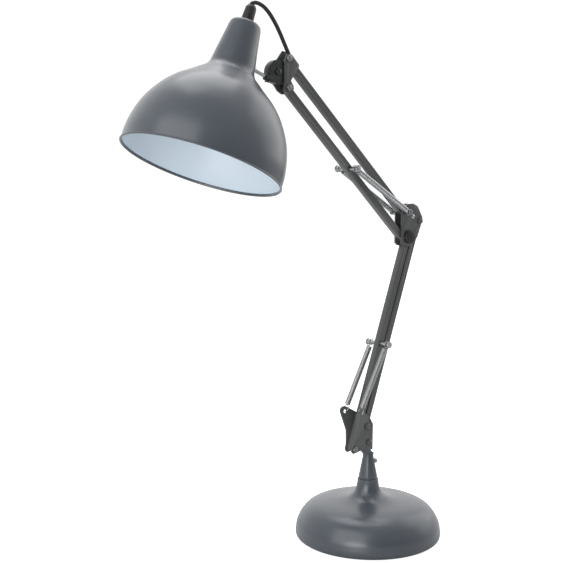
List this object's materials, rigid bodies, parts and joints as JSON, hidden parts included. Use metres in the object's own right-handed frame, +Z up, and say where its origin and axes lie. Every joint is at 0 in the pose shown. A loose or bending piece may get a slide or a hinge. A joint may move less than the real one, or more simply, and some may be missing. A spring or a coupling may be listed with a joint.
{
  "type": "architect desk lamp",
  "caption": "Desk lamp with a round weighted base, swivelling stem, two sprung parallelogram arms, a tilting knuckle and a bell-shaped metal shade",
  "frame": {"origin": "centre of the underside of the base", "axes": "+Z up; the arms lie in the XZ plane with the shade toward -X; every arm pivot runs along Y"},
  "size_m": [0.4682, 0.2, 0.7057],
  "materials": {
    "grey_paint": "glossy slate grey enamel",
    "shade_paint": "glossy slate grey enamel outside, white enamel inside",
    "bright_steel": "bright plated steel",
    "iron": "as cast, inside the base",
    "felt": "felt",
    "brass": "machined",
    "black_rubber": "satin black",
    "black_plastic": "satin black",
    "black_metal": "black enamel"
  },
  "bodies": {
    "base": {"base_pad": "felt", "base_plate": "bright_steel", "base_weight": "iron", "base_cover": "grey_paint", "cable_grommet": "black_rubber", "neck_bush": "brass"},
    "stem": {"spindle": "bright_steel", "spindle_nut": "bright_steel", "stem_cone": "grey_paint", "stem_screw": "bright_steel", "stem_cheek_near": "grey_paint", "stem_cheek_far": "grey_paint", "bolt_tang": "bright_steel", "nut_tang": "bright_steel", "bolt_a1": "bright_steel", "nut_a1": "bright_steel", "bolt_a2": "bright_steel", "nut_a2": "bright_steel"},
    "lower_front_arm": {"lower_tube_front": "grey_paint", "lower_pin": "bright_steel", "lower_spring_near": "bright_steel", "lower_spring_far": "bright_steel"},
    "lower_rear_arm": {"lower_tube_rear": "grey_paint", "flex_lower_run": "black_rubber"},
    "elbow": {"elbow_plate_near": "grey_paint", "elbow_plate_far": "grey_paint", "elbow_spacer": "bright_steel", "bolt_b1": "bright_steel", "elbow_cap": "black_plastic", "bolt_b2": "bright_steel", "nut_b2": "bright_steel", "bolt_c1": "bright_steel", "spring_bolt": "bright_steel"},
    "upper_lower_arm": {"upper_tube_lower": "grey_paint", "upper_pin": "bright_steel", "upper_spring_near": "bright_steel", "upper_spring_far": "bright_steel"},
    "upper_upper_arm": {"upper_tube_upper": "grey_paint", "flex_upper_run": "black_rubber"},
    "head": {"head_cheek_near": "grey_paint", "head_cheek_far": "grey_paint", "bolt_d1": "bright_steel", "nut_d1": "bright_steel", "bolt_d2": "bright_steel", "nut_d2": "bright_steel", "nut_tilt": "bright_steel"},
    "knuckle": {"knuckle": "black_metal", "tilt_bolt": "black_metal"},
    "shade": {"shade": "shade_paint", "shade_stud": "bright_steel", "stud_nut_inner": "bright_steel", "stud_nut_outer": "bright_steel", "lampholder": "black_plastic", "holder_contact": "brass", "nipple_nut": "bright_steel", "cord_grip": "black_plastic", "flex_loop": "black_rubber"}
  },
  "joints": [
    {"name": "stem_swivel", "type": "hinge", "parent": "base", "child": "stem", "pos_m": [0, 0, 0.082], "axis": [0, 0, 1], "range_deg": [-170, 170]},
    {"name": "lower_arm_lean", "type": "hinge", "parent": "stem", "child": "lower_front_arm", "pos_m": [-0.0311, 0, 0.1277], "axis": [0, 1, 0], "range_deg": [-45, 3], "deforming": ["lower_spring_near", "lower_spring_far"]},
    {"name": "lower_rear_link", "type": "hinge", "parent": "stem", "child": "lower_rear_arm", "pos_m": [-0.0089, 0, 0.1565], "axis": [0, 1, 0], "range_deg": [-45, 3]},
    {"name": "elbow_level", "type": "hinge", "parent": "lower_front_arm", "child": "elbow", "pos_m": [0.06689, 0, 0.40595], "axis": [0, 1, 0], "range_deg": [-3, 45]},
    {"name": "upper_arm_lean", "type": "hinge", "parent": "elbow", "child": "upper_lower_arm", "pos_m": [0.05919, 0, 0.41185], "axis": [0, 1, 0], "range_deg": [-65, 14], "deforming": ["upper_spring_near", "upper_spring_far"]},
    {"name": "upper_upper_link", "type": "hinge", "parent": "elbow", "child": "upper_upper_arm", "pos_m": [0.05919, 0, 0.44725], "axis": [0, 1, 0], "range_deg": [-65, 14]},
    {"name": "head_level", "type": "hinge", "parent": "upper_lower_arm", "child": "head", "pos_m": [-0.14672, 0, 0.60453], "axis": [0, 1, 0], "range_deg": [-14, 65]},
    {"name": "head_tilt", "type": "hinge", "parent": "head", "child": "knuckle", "pos_m": [-0.16152, 0, 0.62303], "axis": [0, 1, 0], "range_deg": [-30, 35], "deforming": ["flex_loop"]},
    {"name": "shade_swivel", "type": "hinge", "parent": "knuckle", "child": "shade", "pos_m": [-0.17655, 0, 0.61596], "axis": [0.9304, 0, -0.3665], "range_deg": [-45, 45]}
  ],
  "couplings": [
    {"joint": "lower_rear_link", "follows": "lower_arm_lean", "ratio": 1},
    {"joint": "elbow_level", "follows": "lower_arm_lean", "ratio": -1},
    {"joint": "upper_upper_link", "follows": "upper_arm_lean", "ratio": 1},
    {"joint": "head_level", "follows": "upper_arm_lean", "ratio": -1}
  ]
}
